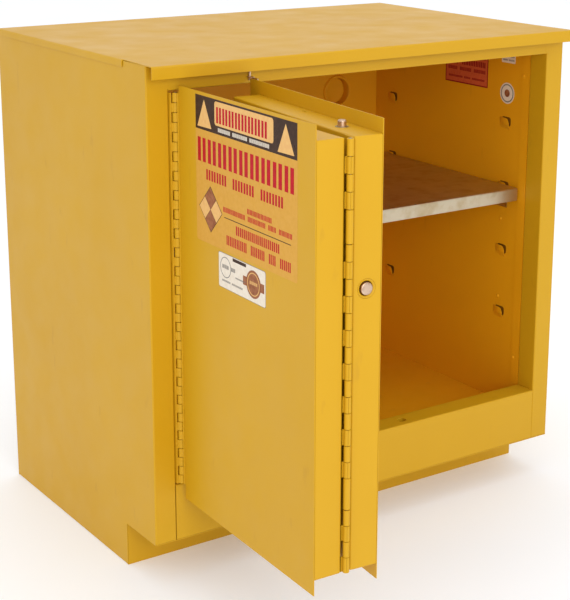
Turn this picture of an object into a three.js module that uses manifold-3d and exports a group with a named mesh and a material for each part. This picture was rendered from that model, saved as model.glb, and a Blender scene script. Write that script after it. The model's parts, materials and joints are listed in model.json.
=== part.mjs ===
// Under-counter flammable storage cabinet, double-walled steel, with one bi-fold door.
// Millimetres, +Z up. The cabinet is drawn with its doors closed: x runs from the left side panel to
// the right, y from the front of the door frame to the back, z from the floor. The two door leaves are
// then swung open about their hinges, and the whole is moved so that the origin is under its middle.
import * as THREE from 'three';
import { mergeVertices } from 'three/addons/utils/BufferGeometryUtils.js';
import Module from 'manifold-3d';

// ---- driving dimensions ----
const WIDTH = 885;             // outside of the side panels
const HEIGHT = 889;            // floor to the top face
const DEPTH = 571;             // front of the door frame to the back panel
const SHEET = 1.5;             // sheet steel
const GAP = 0.3;               // clearance between pieces that touch
const WALL = 38;               // double wall, outside face to inside face

const TOP_OVERHANG = 24.5;     // top cover past the door frame
const TOP_SIDE_LIP = 2;        // top cover past each side panel
const TOP_FRONT_FLANGE = 21;
const TOP_SIDE_FLANGE = 12;
const TOP_SIDE_FLANGE_START = 75;

const STILE = 40;              // face width of the frame's uprights
const JAMB = 45;               // depth of the door frame
const STILE_RETURN = 12;       // flange at the back edge of each upright
const HEADER_RETURN = 20;
const OPENING_BOTTOM = 179;
const OPENING_TOP = 845;
const TOE_DEPTH = 105;
const TOE_HEIGHT = 78;
const TOE_FLANGE = 20;
const BASE_FLANGE = 25;        // foot of each side panel, turned inward on the floor

const FLOOR_TOP = 128;         // floor of the leakproof sump
const LINER_BACK = 530;        // inside face of the back wall
const CEILING = 849;

const SHELF_TOP = 578;
const SHELF_LIP = 25;
const SHELF_FRONT = 60;
const SHELF_BACK = 526;
const SHELF_SIDE_GAP = 5.5;
const TAB_ROWS = [313, 441, 569, 697];
const TAB_COLUMNS = [112, 472];
const TAB_WIDTH = 30;
const TAB_HEIGHT = 22;
const TAB_REACH = 5;
const TAB_FLAT = 3;            // crest of the tab, before it slopes back to the wall
const CLIP_DROP = 22;          // shelf clip, down the wall
const CLIP_LEDGE = 20;         // shelf clip, under the shelf

const VENT_RADIUS = 28.5;
const VENT_TUBE_WALL = 2;
const VENT_HOLE_RADIUS = VENT_RADIUS + VENT_TUBE_WALL + GAP;
const VENT_SIDES = 20;
const VENTS = { upper: [742, 712], lower: [140, 205] };
const PLUG = { depth: 14, thickness: 3 };      // sheet disc behind the inside wall
const SCREEN = { depth: 22, thickness: 2 };    // flame arrester behind the disc
const CAP = { spigot: 9, spigotGap: 2, flange: 7, seat: 0.4, edge: 5, height: 8 };

const GROUND = [800, 120];     // grounding screw on the back panel
const GROUND_SHANK = { radius: 4, length: 12 };
const GROUND_HEAD = { radius: 8, from: 2.4, to: 6.5 };
const GROUND_WASHER = { outer: 9, inner: 4.4, thickness: 1.8 };

// ---- doors ----
const LEAF_START = 59.7;       // hinge edge of the first leaf
const LEAF_A_LENGTH = 398;
const LEAF_B_LENGTH = 408.5;
const LEAF_GAP = 4;            // between the two leaves when flat
const SKIN_FRONT = -3;
const SKIN_BOTTOM = 158;
const SKIN_TOP = 855;
const PAN_BOTTOM = 182;
const PAN_TOP = 833;
const PAN_BACK = 44;
const LEAF_B_PAN_END = 840.5;
const JAMB_AXIS = [50, -4];
const FOLD_AXIS = [LEAF_START + LEAF_A_LENGTH + LEAF_GAP / 2, 52];
const DOOR_OPEN_DEG = 92;      // first leaf, from closed
const FOLD_OPEN_DEG = 176.5;   // second leaf against the first

const JAMB_BARREL_RADIUS = 6;
const FOLD_BARREL_RADIUS = 5.5;
const HINGE_PIN_RADIUS = 2.5;
const HINGE_BORE_RADIUS = 2.9;
const HINGE_SIDES = 10;
const JAMB_HINGE = { bottom: 183, top: 843, lengths: 14 };
const FOLD_HINGE = { bottom: 183, top: 832, lengths: 13 };
const SPRING_LENGTHS = [2, 10];  // hinge lengths taken by the closing-spring barrels

const BOLT_X = FOLD_AXIS[0] + 75;
const LATCH_Y = 22;            // middle of the leaf's thickness
const BOLT_RADIUS = 6.5;
const BOLT_CHAMFER = 2;
const BOLT_ROD_RADIUS = 4;
const BOLT_TAPER = 7;          // from the rod up to the bolt
const BOLT_HEAD_LENGTH = 83;
const BOLT_LENGTH = 222.5;
const BOLT_STANDOFF = 2;       // drawn back from the header and the sill
const BOLT_HOLE_RADIUS = 7.5;
const SLEEVE_WALL = 2;
const SLEEVE_LENGTH = 14;
const SLEEVE_PROUD = 0.8;
const CASE_HALF = [20, 10, 42];
const LATCH_Z = 613;
const BUTTON_RADIUS = 10;
const BUTTON_CAP = 14;
const BUTTON_STEM_RADIUS = 5;
const BUTTON_LENGTH = 52;
const BUTTON_PROUD = 2;
const BUTTON_HOLE_RADIUS = 12.5;
const BUTTON_SLEEVE_LENGTH = 12;
const BUTTON_LIP = 1.5;
const HANDLE_X = FOLD_AXIS[0] + 145;
const HANDLE_Z = 613;
const DISH_WIDTH = 80;
const DISH_HEIGHT = 110;
const DISH_DEPTH = 16;
const DISH_RIM = 7;
const LOCK_RADIUS = 9;
const LOCK_FACE = -1;
const LOCK_LENGTH = 22;
const LOCK_Z = HANDLE_Z - 36;
const PADDLE_AXIS_Y = 4;
const PADDLE_AXIS_Z = HANDLE_Z + 44;
const PADDLE_PIN_RADIUS = 2;
const PADDLE_MARGIN = 5;       // paddle to the side of its dish
const PADDLE_DROP = 18;        // paddle below the middle of the dish
const PADDLE_PLATE = [-6, -3.5];
const PADDLE_LUG = 3;

const GUIDE_PIN = [878, -4.5];
const GUIDE_PIN_RADIUS = 1.9;
const GUIDE_PIN_LENGTH = 28;
const GUIDE_NECK = 3.2;        // flange under the ear that holds the pin
const GUIDE_HEAD = { radius: 3, depth: 6 };
const GUIDE_EAR = { half: 3.5, overlap: 10, rise: 0.6, top: 2 };
const GUIDE_PLATE = { from: 30, to: 5, drop: 16 };

// ---- materials ----
const paint = (color) => new THREE.MeshStandardMaterial({ color, roughness: 0.38, metalness: 0 });
const yellow = paint(0xd8a830);
const yellowInside = paint(0xc98a18);
const galvanized = new THREE.MeshStandardMaterial({ color: 0xb4ab98, roughness: 0.42, metalness: 1 });
const steel = new THREE.MeshStandardMaterial({ color: 0xb9b9b6, roughness: 0.3, metalness: 1 });
const chrome = new THREE.MeshStandardMaterial({ color: 0xd2d2d2, roughness: 0.15, metalness: 1 });
const brass = new THREE.MeshStandardMaterial({ color: 0xc8a850, roughness: 0.3, metalness: 1 });
const mesh = new THREE.MeshStandardMaterial({ color: 0x8a8a86, roughness: 0.5, metalness: 1 });

// ---- shapes ----
const wasm = await Module();
wasm.setup();

function block([x0, x1], [y0, y1], [z0, z1]) {
  const geometry = new THREE.BoxGeometry(x1 - x0, y1 - y0, z1 - z0);
  return geometry.translate((x0 + x1) / 2, (y0 + y1) / 2, (z0 + z1) / 2);
}

// A flat outline given as [y, z] points, extruded along x.
function extrudeAlongX(points, x0, x1) {
  const shape = new THREE.Shape(points.map(([y, z]) => new THREE.Vector2(y, z)));
  const geometry = new THREE.ExtrudeGeometry(shape, { depth: x1 - x0, bevelEnabled: false });
  const toAxes = new THREE.Matrix4().makeBasis(
    new THREE.Vector3(0, 1, 0), new THREE.Vector3(0, 0, 1), new THREE.Vector3(1, 0, 0));
  return geometry.applyMatrix4(toAxes).translate(x0, 0, 0);
}

// A flat outline given as [x, y] points, extruded up z.
function extrudeUp(points, z0, z1) {
  const shape = new THREE.Shape(points.map(([x, y]) => new THREE.Vector2(x, y)));
  const geometry = new THREE.ExtrudeGeometry(shape, { depth: z1 - z0, bevelEnabled: false });
  return geometry.translate(0, 0, z0);
}

// A profile of [radius, height] points turned about z, then laid along the given axis. It either
// starts and ends on the axis or is closed here.
function turned(profile, [x, y, z], axis = 'z', sides = 16) {
  const points = profile.map(([r, h]) => new THREE.Vector2(r, h));
  if (points[0].x > 0) points.push(points[0].clone());
  const geometry = new THREE.LatheGeometry(points, sides);
  if (axis === 'z') geometry.rotateX(Math.PI / 2);
  if (axis === 'x') geometry.rotateZ(-Math.PI / 2);
  return geometry.translate(x, y, z);
}

function rod(radius, length, base, axis = 'z', sides = 16) {
  return turned([[0, 0], [radius, 0], [radius, length], [0, length]], base, axis, sides);
}

function ring(outer, inner, length, base, axis = 'z', sides = 16) {
  return turned([[inner, 0], [outer, 0], [outer, length], [inner, length]], base, axis, sides);
}

function toSolid(geometry) {
  const bare = geometry.clone();
  bare.deleteAttribute('normal');
  bare.deleteAttribute('uv');
  const merged = mergeVertices(bare, 1e-4);
  return new wasm.Manifold(new wasm.Mesh({
    numProp: 3,
    vertProperties: new Float32Array(merged.attributes.position.array),
    triVerts: new Uint32Array(merged.index.array),
  }));
}

function toGeometry(solid) {
  const { vertProperties, triVerts } = solid.getMesh();
  const geometry = new THREE.BufferGeometry();
  geometry.setAttribute('position', new THREE.BufferAttribute(vertProperties, 3));
  geometry.setIndex(new THREE.BufferAttribute(triVerts, 1));
  return geometry;
}

function join(...geometries) {
  return toGeometry(geometries.map(toSolid).reduce((whole, part) => whole.add(part)));
}

function cut(geometry, ...tools) {
  return toGeometry(tools.map(toSolid).reduce((whole, tool) => whole.subtract(tool), toSolid(geometry)));
}

function addTo(group, name, material, geometry) {
  const piece = new THREE.Mesh(geometry, material);
  piece.name = name;
  group.add(piece);
  return piece;
}

// ---- outer shell ----
const sideOutline = [
  [SHEET + GAP, TOE_HEIGHT], [TOE_DEPTH, TOE_HEIGHT], [TOE_DEPTH, 0],
  [DEPTH - SHEET - GAP, 0], [DEPTH - SHEET - GAP, HEIGHT - SHEET - GAP],
  [SHEET + GAP, HEIGHT - SHEET - GAP],
];

function addShell(cabinet) {
  const topZ = [HEIGHT - SHEET, HEIGHT];
  const lipLeft = [-TOP_SIDE_LIP, -GAP];
  const lipRight = [WIDTH + GAP, WIDTH + TOP_SIDE_LIP];
  const lipZ = [HEIGHT - TOP_SIDE_FLANGE, HEIGHT - SHEET / 2];
  const lipY = [TOP_SIDE_FLANGE_START, DEPTH];
  addTo(cabinet, 'top_cover', yellow, join(
    block([-TOP_SIDE_LIP, WIDTH + TOP_SIDE_LIP], [-TOP_OVERHANG, DEPTH], topZ),
    block([-TOP_SIDE_LIP, WIDTH + TOP_SIDE_LIP], [-TOP_OVERHANG, SHEET - TOP_OVERHANG],
      [HEIGHT - TOP_FRONT_FLANGE, HEIGHT - SHEET / 2]),
    block(lipLeft, lipY, lipZ),
    block(lipRight, lipY, lipZ),
  ));
  const baseY = [TOE_DEPTH + SHEET + GAP, DEPTH - SHEET - GAP];
  addTo(cabinet, 'side_panel_left', yellow, join(
    extrudeAlongX(sideOutline, 0, SHEET),
    block([SHEET / 2, BASE_FLANGE], baseY, [0, SHEET]),
  ));
  addTo(cabinet, 'side_panel_right', yellow, join(
    extrudeAlongX(sideOutline, WIDTH - SHEET, WIDTH),
    block([WIDTH - BASE_FLANGE, WIDTH - SHEET / 2], baseY, [0, SHEET]),
  ));

  const backPlate = block([0, WIDTH], [DEPTH - SHEET, DEPTH], [0, HEIGHT - SHEET - GAP]);
  const backHoles = Object.values(VENTS).map(([x, z]) =>
    rod(VENT_HOLE_RADIUS, 3 * SHEET, [x, DEPTH - 2 * SHEET, z], 'y', VENT_SIDES));
  const groundHole = rod(GROUND_SHANK.radius + 0.5, 3 * SHEET,
    [GROUND[0], DEPTH - 2 * SHEET, GROUND[1]], 'y');
  addTo(cabinet, 'back_panel', yellow, cut(backPlate, ...backHoles, groundHole));

  const insideX = [SHEET + GAP, WIDTH - SHEET - GAP];
  addTo(cabinet, 'bottom_pan', yellow, block(insideX, [0, DEPTH - SHEET - GAP],
    [TOE_HEIGHT, TOE_HEIGHT + SHEET]));
  addTo(cabinet, 'toe_kick', yellow, join(
    block(insideX, [TOE_DEPTH, TOE_DEPTH + SHEET], [0, TOE_HEIGHT - GAP]),
    block(insideX, [TOE_DEPTH, TOE_DEPTH + TOE_FLANGE], [TOE_HEIGHT - GAP - SHEET, TOE_HEIGHT - GAP]),
  ));
}

// ---- door frame: two uprights, a header and a sill, each folded from sheet ----
function stileOutline(outer, inner) {
  const inward = Math.sign(inner - outer);
  return [
    [outer, 0], [inner, 0], [inner, JAMB], [inner - inward * STILE_RETURN, JAMB],
    [inner - inward * STILE_RETURN, JAMB - SHEET], [inner - inward * SHEET, JAMB - SHEET],
    [inner - inward * SHEET, SHEET], [outer, SHEET],
  ];
}

function addFrame(cabinet) {
  const stileZ = [TOE_HEIGHT + SHEET + GAP, HEIGHT - SHEET - GAP];
  const left = STILE;
  const right = WIDTH - STILE;
  addTo(cabinet, 'stile_left', yellow, extrudeUp(stileOutline(0, left), ...stileZ));
  addTo(cabinet, 'stile_right', yellow, extrudeUp(stileOutline(WIDTH, right), ...stileZ));

  const spanX = [left + GAP, right - GAP];
  const strikeHole = (z) => rod(BOLT_HOLE_RADIUS + 1, 4 * SHEET, [BOLT_X, LATCH_Y, z - 2 * SHEET]);
  const headerOutline = [
    [0, OPENING_TOP], [JAMB, OPENING_TOP], [JAMB, OPENING_TOP + HEADER_RETURN],
    [JAMB - SHEET, OPENING_TOP + HEADER_RETURN], [JAMB - SHEET, OPENING_TOP + SHEET],
    [SHEET, OPENING_TOP + SHEET], [SHEET, stileZ[1]], [0, stileZ[1]],
  ];
  addTo(cabinet, 'header', yellow,
    cut(extrudeAlongX(headerOutline, ...spanX), strikeHole(OPENING_TOP)));

  const sillOutline = [
    [0, stileZ[0]], [SHEET, stileZ[0]],
    [SHEET, OPENING_BOTTOM - SHEET], [JAMB - SHEET, OPENING_BOTTOM - SHEET],
    [JAMB - SHEET, FLOOR_TOP], [JAMB, FLOOR_TOP], [JAMB, OPENING_BOTTOM], [0, OPENING_BOTTOM],
  ];
  addTo(cabinet, 'sill_panel', yellow,
    cut(extrudeAlongX(sillOutline, ...spanX), strikeHole(OPENING_BOTTOM)));
}

// ---- inner walls, sump and shelf ----
// A tab is pressed out of the wall: a wedge that stands TAB_REACH into the cabinet at its top.
function tab(wallX, inward, y, z) {
  const rise = [[wallX - inward * SHEET / 2, 0], [wallX + inward * TAB_REACH, 0],
    [wallX + inward * TAB_REACH, TAB_FLAT], [wallX - inward * SHEET / 2, TAB_WIDTH]];
  return extrudeUp(rise.map(([x, dy]) => [x, y - TAB_WIDTH / 2 + dy]),
    z - TAB_HEIGHT / 2, z + TAB_HEIGHT / 2);
}

function addLiner(cabinet) {
  const wallZ = [FLOOR_TOP - GAP - SHEET, CEILING];
  const wallY = [JAMB + GAP, LINER_BACK];
  const leftX = WALL;
  const rightX = WIDTH - WALL;
  const tabsOn = (wallX, inward) => TAB_ROWS.flatMap(
    (z) => TAB_COLUMNS.map((y) => tab(wallX, inward, y, z)));
  addTo(cabinet, 'liner_left', yellowInside,
    join(block([leftX - SHEET, leftX], wallY, wallZ), ...tabsOn(leftX, 1)));
  addTo(cabinet, 'liner_right', yellowInside,
    join(block([rightX, rightX + SHEET], wallY, wallZ), ...tabsOn(rightX, -1)));

  const ventHole = ([x, z]) =>
    rod(VENT_HOLE_RADIUS, 3 * SHEET, [x, LINER_BACK - SHEET, z], 'y', VENT_SIDES);
  addTo(cabinet, 'liner_back', yellowInside, cut(
    block([leftX - SHEET, rightX + SHEET], [LINER_BACK + GAP, LINER_BACK + GAP + SHEET], wallZ),
    ...Object.values(VENTS).map(ventHole),
  ));
  addTo(cabinet, 'liner_ceiling', yellowInside, block([leftX - SHEET, rightX + SHEET],
    [JAMB + GAP, LINER_BACK + GAP + SHEET], [CEILING + GAP, CEILING + GAP + SHEET]));
  addTo(cabinet, 'sump_pan', yellowInside, block([leftX + GAP, rightX - GAP],
    [JAMB + GAP, LINER_BACK], [FLOOR_TOP - GAP - SHEET, FLOOR_TOP - GAP]));
}

function addShelf(cabinet) {
  const x0 = WALL + SHELF_SIDE_GAP;
  const x1 = WIDTH - WALL - SHELF_SIDE_GAP;
  const inset = ([low, high]) => [low + SHEET, high - SHEET];
  addTo(cabinet, 'shelf', galvanized, cut(
    block([x0, x1], [SHELF_FRONT, SHELF_BACK], [SHELF_TOP - SHELF_LIP, SHELF_TOP]),
    block(inset([x0, x1]), inset([SHELF_FRONT, SHELF_BACK]),
      [SHELF_TOP - SHELF_LIP - 1, SHELF_TOP - SHEET]),
  ));
  // The clips hang below the tabs and carry the shelf's rim.
  const ledgeTop = SHELF_TOP - SHELF_LIP - GAP;
  const sides = { left: [WALL + GAP, 1], right: [WIDTH - WALL - GAP, -1] };
  const columns = { front: TAB_COLUMNS[0], back: TAB_COLUMNS[1] };
  for (const [side, [wallX, inward]] of Object.entries(sides)) {
    for (const [place, y] of Object.entries(columns)) {
      const outline = [[0, -CLIP_DROP], [SHEET, -CLIP_DROP], [SHEET, -SHEET], [CLIP_LEDGE, -SHEET],
        [CLIP_LEDGE, 0], [0, 0]];
      const bracket = new THREE.Shape(outline.map(([u, v]) => new THREE.Vector2(inward * u, v)));
      const geometry = new THREE.ExtrudeGeometry(bracket, { depth: TAB_WIDTH, bevelEnabled: false });
      geometry.rotateX(Math.PI / 2).translate(wallX, y + TAB_WIDTH / 2, ledgeTop);
      addTo(cabinet, `shelf_clip_${place}_${side}`, galvanized, geometry);
    }
  }
}

// ---- vents through the double back wall, and the grounding screw ----
function addVents(cabinet) {
  for (const [place, [x, z]] of Object.entries(VENTS)) {
    addTo(cabinet, `vent_tube_${place}`, yellowInside, ring(VENT_RADIUS + VENT_TUBE_WALL,
      VENT_RADIUS, DEPTH - LINER_BACK, [x, LINER_BACK, z], 'y', VENT_SIDES));
    addTo(cabinet, `vent_screen_${place}`, mesh,
      rod(VENT_RADIUS - GAP, SCREEN.thickness, [x, LINER_BACK + SCREEN.depth, z], 'y', VENT_SIDES));
    addTo(cabinet, `vent_plug_${place}`, yellowInside,
      rod(VENT_RADIUS - GAP, PLUG.thickness, [x, LINER_BACK + PLUG.depth, z], 'y', VENT_SIDES));
    const spigotRadius = VENT_RADIUS - CAP.spigotGap;
    const flangeRadius = VENT_RADIUS + CAP.flange;
    const capProfile = [[0, -CAP.spigot], [spigotRadius, -CAP.spigot], [spigotRadius, CAP.seat],
      [flangeRadius, CAP.seat], [flangeRadius, CAP.edge], [VENT_RADIUS, CAP.height], [0, CAP.height]];
    addTo(cabinet, `vent_cap_${place}`, yellow, turned(capProfile, [x, DEPTH, z], 'y', VENT_SIDES));
  }
  const [x, z] = GROUND;
  const { radius, length } = GROUND_SHANK;
  const head = GROUND_HEAD;
  addTo(cabinet, 'grounding_screw', brass, turned([
    [0, -length], [radius, -length], [radius, head.from], [head.radius, head.from],
    [head.radius, head.to], [0, head.to],
  ], [x, DEPTH, z], 'y', 12));
  addTo(cabinet, 'grounding_washer', brass, ring(GROUND_WASHER.outer, GROUND_WASHER.inner,
    GROUND_WASHER.thickness, [x, DEPTH + GAP, z], 'y', 12));
}

// ---- hinges ----
// One side of a hinge: its plate, and a tab and a knuckle for each length that it owns.
function hingeSide({ axis: [x, y], radius, hinge, owns, plate, tabX, tabY }) {
  const pitch = (hinge.top - hinge.bottom) / hinge.lengths;
  const knuckles = [];
  for (let i = 0; i < hinge.lengths; i += 1) {
    if (owns(i)) {
      const z0 = hinge.bottom + i * pitch + GAP;
      const z1 = hinge.bottom + (i + 1) * pitch - GAP;
      knuckles.push(rod(radius, z1 - z0, [x, y, z0], 'z', HINGE_SIDES));
      knuckles.push(block(tabX, tabY, [z0, z1]));
    }
  }
  const bore = rod(HINGE_BORE_RADIUS, hinge.top - hinge.bottom + 2, [x, y, hinge.bottom - 1], 'z',
    HINGE_SIDES);
  return cut(join(block(plate[0], plate[1], [hinge.bottom + GAP, hinge.top - GAP]), ...knuckles), bore);
}

function hingePin([x, y], hinge) {
  return rod(HINGE_PIN_RADIUS, hinge.top - hinge.bottom, [x, y, hinge.bottom], 'z', HINGE_SIDES);
}

function addJambHinge(cabinet, leafA) {
  const [x, y] = JAMB_AXIS;
  const shared = { axis: JAMB_AXIS, radius: JAMB_BARREL_RADIUS, hinge: JAMB_HINGE };
  addTo(cabinet, 'jamb_hinge_frame_side', yellow, hingeSide({
    ...shared, owns: (i) => i % 2 === 0,
    plate: [[STILE + GAP, STILE + 2.3], [y - 1, 26]],
    tabX: [STILE + GAP, x - HINGE_BORE_RADIUS], tabY: [y - 1, y + 1],
  }));
  addTo(cabinet, 'jamb_hinge_pin', steel, hingePin(JAMB_AXIS, JAMB_HINGE));
  addTo(leafA, 'jamb_hinge_leaf_side', yellow, hingeSide({
    ...shared, owns: (i) => i % 2 === 1,
    plate: [[LEAF_START - 2.3, LEAF_START - GAP], [y - 1, 26]],
    tabX: [x + HINGE_BORE_RADIUS, LEAF_START - GAP], tabY: [y - 1, y + 1],
  }));
}

function addFoldHinge(leafA, leafB) {
  const [x, y] = FOLD_AXIS;
  const shared = { axis: FOLD_AXIS, radius: FOLD_BARREL_RADIUS, hinge: FOLD_HINGE };
  const knuckle = (i) => !SPRING_LENGTHS.includes(i);
  const plateY = [PAN_BACK + GAP, PAN_BACK + 2];
  const clear = FOLD_BARREL_RADIUS + 0.6;
  const tabY = [PAN_BACK + GAP, y - HINGE_BORE_RADIUS];
  addTo(leafA, 'fold_hinge_side_a', yellow, hingeSide({
    ...shared, owns: (i) => knuckle(i) && i % 2 === 0,
    plate: [[x - 27, x - clear], plateY], tabX: [x - clear - 2, x - 3], tabY,
  }));
  addTo(leafB, 'fold_hinge_side_b', yellow, hingeSide({
    ...shared, owns: (i) => knuckle(i) && i % 2 === 1,
    plate: [[x + clear, x + 27], plateY], tabX: [x + 3, x + clear + 2], tabY,
  }));
  addTo(leafA, 'fold_hinge_pin', steel, hingePin(FOLD_AXIS, FOLD_HINGE));
  const pitch = (FOLD_HINGE.top - FOLD_HINGE.bottom) / FOLD_HINGE.lengths;
  SPRING_LENGTHS.forEach((i, n) => addTo(leafA, `closing_spring_barrel_${n === 0 ? 'lower' : 'upper'}`,
    yellow, ring(FOLD_BARREL_RADIUS, HINGE_BORE_RADIUS, pitch - 2 * GAP,
      [x, y, FOLD_HINGE.bottom + i * pitch + GAP], 'z', HINGE_SIDES)));
}

// ---- door leaves: a flat skin with lips over a box-shaped pan ----
function pan([x0, x1], holes) {
  const outer = block([x0, x1], [SKIN_FRONT + SHEET + GAP, PAN_BACK], [PAN_BOTTOM, PAN_TOP]);
  const inner = block([x0 + SHEET, x1 - SHEET], [SKIN_FRONT, PAN_BACK - SHEET],
    [PAN_BOTTOM + SHEET, PAN_TOP - SHEET]);
  return cut(outer, inner, ...holes);
}

function addLeaves(leafA, leafB) {
  const skinY = [SKIN_FRONT, SKIN_FRONT + SHEET];
  const skinZ = [SKIN_BOTTOM, SKIN_TOP];
  const endA = LEAF_START + LEAF_A_LENGTH;
  const startB = endA + LEAF_GAP;
  addTo(leafA, 'leaf_a_skin', yellow, block([LEAF_START, endA], skinY, skinZ));
  addTo(leafA, 'leaf_a_pan', yellow, pan([LEAF_START, endA], []));

  const dishHole = block([HANDLE_X - DISH_WIDTH / 2 - 1, HANDLE_X + DISH_WIDTH / 2 + 1], [-10, 5],
    [HANDLE_Z - DISH_HEIGHT / 2 - 1, HANDLE_Z + DISH_HEIGHT / 2 + 1]);
  const skinB = block([startB, startB + LEAF_B_LENGTH], skinY, skinZ);
  addTo(leafB, 'leaf_b_skin', yellow, cut(skinB, dishHole));
  addTo(leafB, 'leaf_b_pan', yellow, pan([startB, LEAF_B_PAN_END], [
    rod(BOLT_HOLE_RADIUS + SLEEVE_WALL + GAP, 8, [BOLT_X, LATCH_Y, PAN_TOP - 4]),
    rod(BOLT_HOLE_RADIUS + SLEEVE_WALL + GAP, 8, [BOLT_X, LATCH_Y, PAN_BOTTOM - 4]),
    rod(BUTTON_HOLE_RADIUS + SLEEVE_WALL + GAP, 8, [startB - 4, LATCH_Y, LATCH_Z], 'x'),
  ]));
}

// ---- latch in the second leaf ----
function addLatch(leafB) {
  const startB = FOLD_AXIS[0] + LEAF_GAP / 2;
  const sleeve = (name, z) => addTo(leafB, name, steel,
    ring(BOLT_HOLE_RADIUS + SLEEVE_WALL, BOLT_HOLE_RADIUS, SLEEVE_LENGTH + SLEEVE_PROUD,
      [BOLT_X, LATCH_Y, z], 'z', 20));
  sleeve('bolt_sleeve_upper', PAN_TOP - SLEEVE_LENGTH);
  sleeve('bolt_sleeve_lower', PAN_BOTTOM - SLEEVE_PROUD);
  addTo(leafB, 'button_sleeve', steel, ring(BUTTON_HOLE_RADIUS + SLEEVE_WALL,
    BUTTON_HOLE_RADIUS - BUTTON_LIP, BUTTON_SLEEVE_LENGTH, [startB, LATCH_Y, LATCH_Z], 'x', 20));

  // The case has a hole in its top and bottom for the bolt rods, and one for the button's stem.
  const caseX = [BOLT_X - CASE_HALF[0], BOLT_X + CASE_HALF[0]];
  const caseY = [LATCH_Y - CASE_HALF[1], PAN_BACK - SHEET - GAP];
  const caseZ = [LATCH_Z - CASE_HALF[2], LATCH_Z + CASE_HALF[2]];
  const hollow = block([caseX[0] + SHEET, caseX[1] - SHEET], [caseY[0] + SHEET, caseY[1] + 5],
    [caseZ[0] + SHEET, caseZ[1] - SHEET]);
  const rodHole = rod(BOLT_ROD_RADIUS + 1.5, 200, [BOLT_X, LATCH_Y, LATCH_Z - 100], 'z', 12);
  const stemHole = rod(BUTTON_STEM_RADIUS + 1, 30, [caseX[0] - 10, LATCH_Y, LATCH_Z], 'x', 12);
  addTo(leafB, 'latch_case', steel, cut(block(caseX, caseY, caseZ), hollow, rodHole, stemHole));

  const tray = block([HANDLE_X - DISH_WIDTH / 2, HANDLE_X + DISH_WIDTH / 2],
    [SKIN_FRONT - SHEET, DISH_DEPTH], [HANDLE_Z - DISH_HEIGHT / 2, HANDLE_Z + DISH_HEIGHT / 2]);
  const rim = block([HANDLE_X - DISH_WIDTH / 2 - DISH_RIM, HANDLE_X + DISH_WIDTH / 2 + DISH_RIM],
    [SKIN_FRONT - GAP - SHEET, SKIN_FRONT - GAP],
    [HANDLE_Z - DISH_HEIGHT / 2 - DISH_RIM, HANDLE_Z + DISH_HEIGHT / 2 + DISH_RIM]);
  const recess = block(
    [HANDLE_X - DISH_WIDTH / 2 + SHEET, HANDLE_X + DISH_WIDTH / 2 - SHEET],
    [SKIN_FRONT - 10, DISH_DEPTH - SHEET],
    [HANDLE_Z - DISH_HEIGHT / 2 + SHEET, HANDLE_Z + DISH_HEIGHT / 2 - SHEET]);
  const lockHole = rod(LOCK_RADIUS + 0.5, 10, [HANDLE_X, DISH_DEPTH - 5, LOCK_Z], 'y');
  addTo(leafB, 'handle_dish', chrome, cut(join(tray, rim), recess, lockHole));
  addTo(leafB, 'paddle_pin', steel, rod(PADDLE_PIN_RADIUS, DISH_WIDTH - 2 * SHEET - 1,
    [HANDLE_X - DISH_WIDTH / 2 + SHEET + 0.5, PADDLE_AXIS_Y, PADDLE_AXIS_Z], 'x', 12));
}

function addLatchMovers(leafB) {
  // Each bolt is a round head on a thinner rod that ends inside the latch case.
  const headEnd = (z, toRod) => [[BOLT_RADIUS - BOLT_CHAMFER, z], [BOLT_RADIUS, z + toRod * BOLT_CHAMFER],
    [BOLT_RADIUS, z + toRod * BOLT_HEAD_LENGTH],
    [BOLT_ROD_RADIUS, z + toRod * (BOLT_HEAD_LENGTH + BOLT_TAPER)]];
  const upper = [[0, 0], [BOLT_ROD_RADIUS, 0], ...headEnd(BOLT_LENGTH, -1).reverse(), [0, BOLT_LENGTH]];
  addTo(leafB, 'bolt_upper', chrome,
    turned(upper, [BOLT_X, LATCH_Y, OPENING_TOP - BOLT_STANDOFF - BOLT_LENGTH], 'z', 16));
  const lowerZ = OPENING_BOTTOM + BOLT_STANDOFF;
  const lowerLength = LATCH_Z - 2 * BOLT_ROD_RADIUS - lowerZ;
  const lower = [[0, 0], ...headEnd(0, 1), [BOLT_ROD_RADIUS, lowerLength], [0, lowerLength]];
  addTo(leafB, 'bolt_lower', chrome, turned(lower, [BOLT_X, LATCH_Y, lowerZ], 'z', 16));

  const startB = FOLD_AXIS[0] + LEAF_GAP / 2;
  const button = [[0, 0], [BUTTON_RADIUS - 1, 0], [BUTTON_RADIUS, 1], [BUTTON_RADIUS, BUTTON_CAP],
    [BUTTON_STEM_RADIUS, BUTTON_CAP], [BUTTON_STEM_RADIUS, BUTTON_LENGTH], [0, BUTTON_LENGTH]];
  addTo(leafB, 'trigger_button', chrome,
    turned(button, [startB - BUTTON_PROUD, LATCH_Y, LATCH_Z], 'x', 16));

  const halfPaddle = DISH_WIDTH / 2 - PADDLE_MARGIN;
  const paddleX = [HANDLE_X - halfPaddle, HANDLE_X + halfPaddle];
  const plate = block(paddleX, PADDLE_PLATE, [HANDLE_Z - PADDLE_DROP, PADDLE_AXIS_Z + PADDLE_LUG]);
  const lug = (x0) => block([x0, x0 + PADDLE_LUG], [PADDLE_PLATE[1] - 0.5, PADDLE_AXIS_Y + 4],
    [PADDLE_AXIS_Z - 5, PADDLE_AXIS_Z + 4]);
  const bore = rod(PADDLE_PIN_RADIUS + 0.4, DISH_WIDTH,
    [HANDLE_X - DISH_WIDTH / 2, PADDLE_AXIS_Y, PADDLE_AXIS_Z], 'x', 12);
  addTo(leafB, 'paddle_handle', chrome,
    cut(join(plate, lug(paddleX[0]), lug(paddleX[1] - PADDLE_LUG)), bore));
  addTo(leafB, 'lock_cylinder', chrome,
    rod(LOCK_RADIUS, LOCK_LENGTH, [HANDLE_X, LOCK_FACE, LOCK_Z], 'y', 16));
}

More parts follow.
